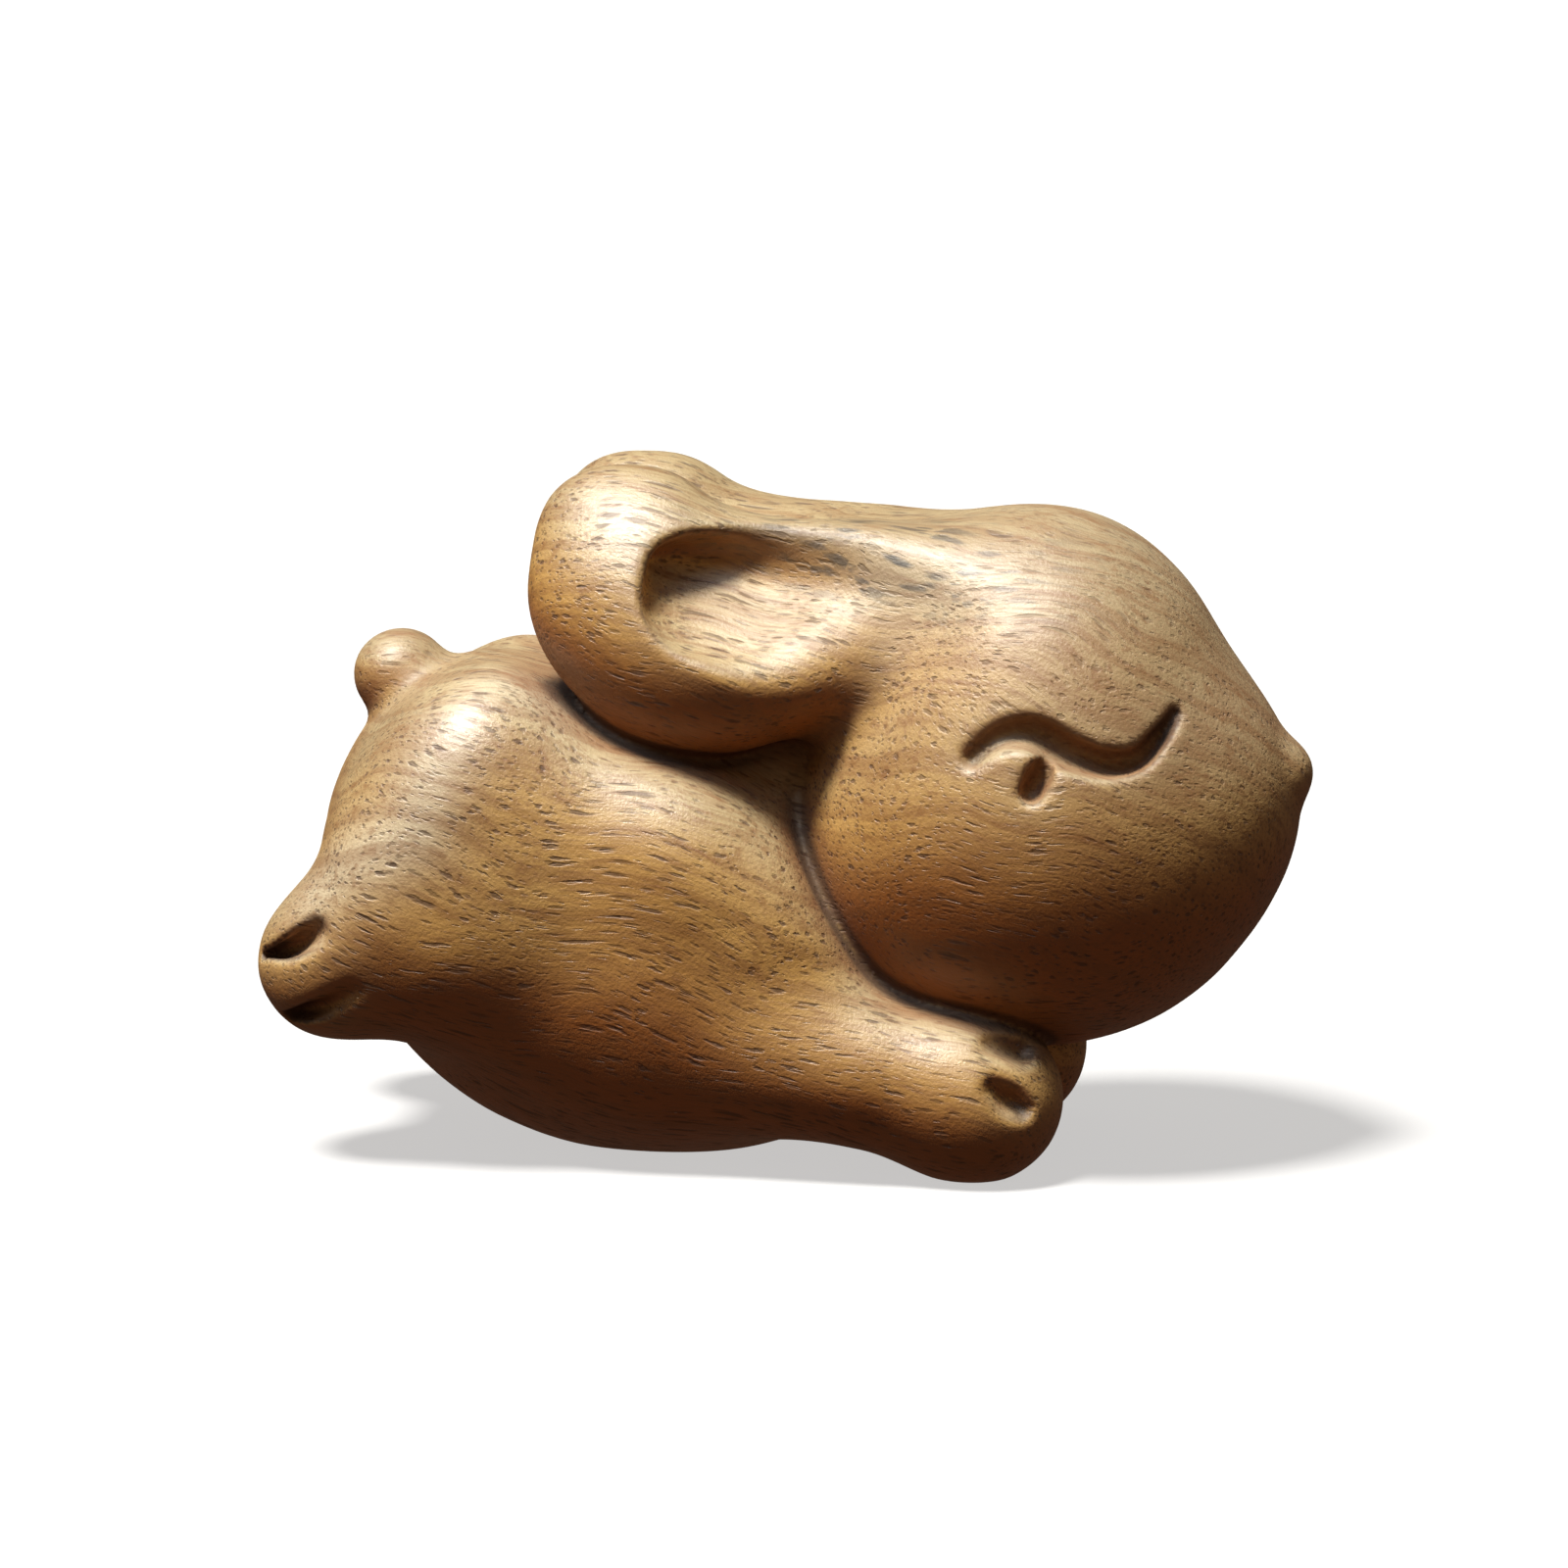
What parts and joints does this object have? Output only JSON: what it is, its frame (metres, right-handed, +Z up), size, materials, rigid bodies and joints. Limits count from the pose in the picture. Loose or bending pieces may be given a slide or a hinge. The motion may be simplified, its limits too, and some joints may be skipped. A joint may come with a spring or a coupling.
{
  "type": "carved hare figure",
  "caption": "Small carved wooden hare asleep with its chin over its forepaws, ears laid back and eyes closed, cut from one block of oiled hardwood and resting on its belly and paws.",
  "frame": {"origin": "on the ground, under the middle of the figure's bounding box", "axes": "+X runs from the rump to the nose, +Y to the figure's left side, +Z up; the side towards -Y is the one that faces the viewer"},
  "size_m": [0.0559, 0.0254, 0.0374],
  "materials": {
    "carved_wood": "satin, oiled"
  },
  "bodies": {
    "root": {"hare": "carved_wood"}
  },
  "joints": []
}
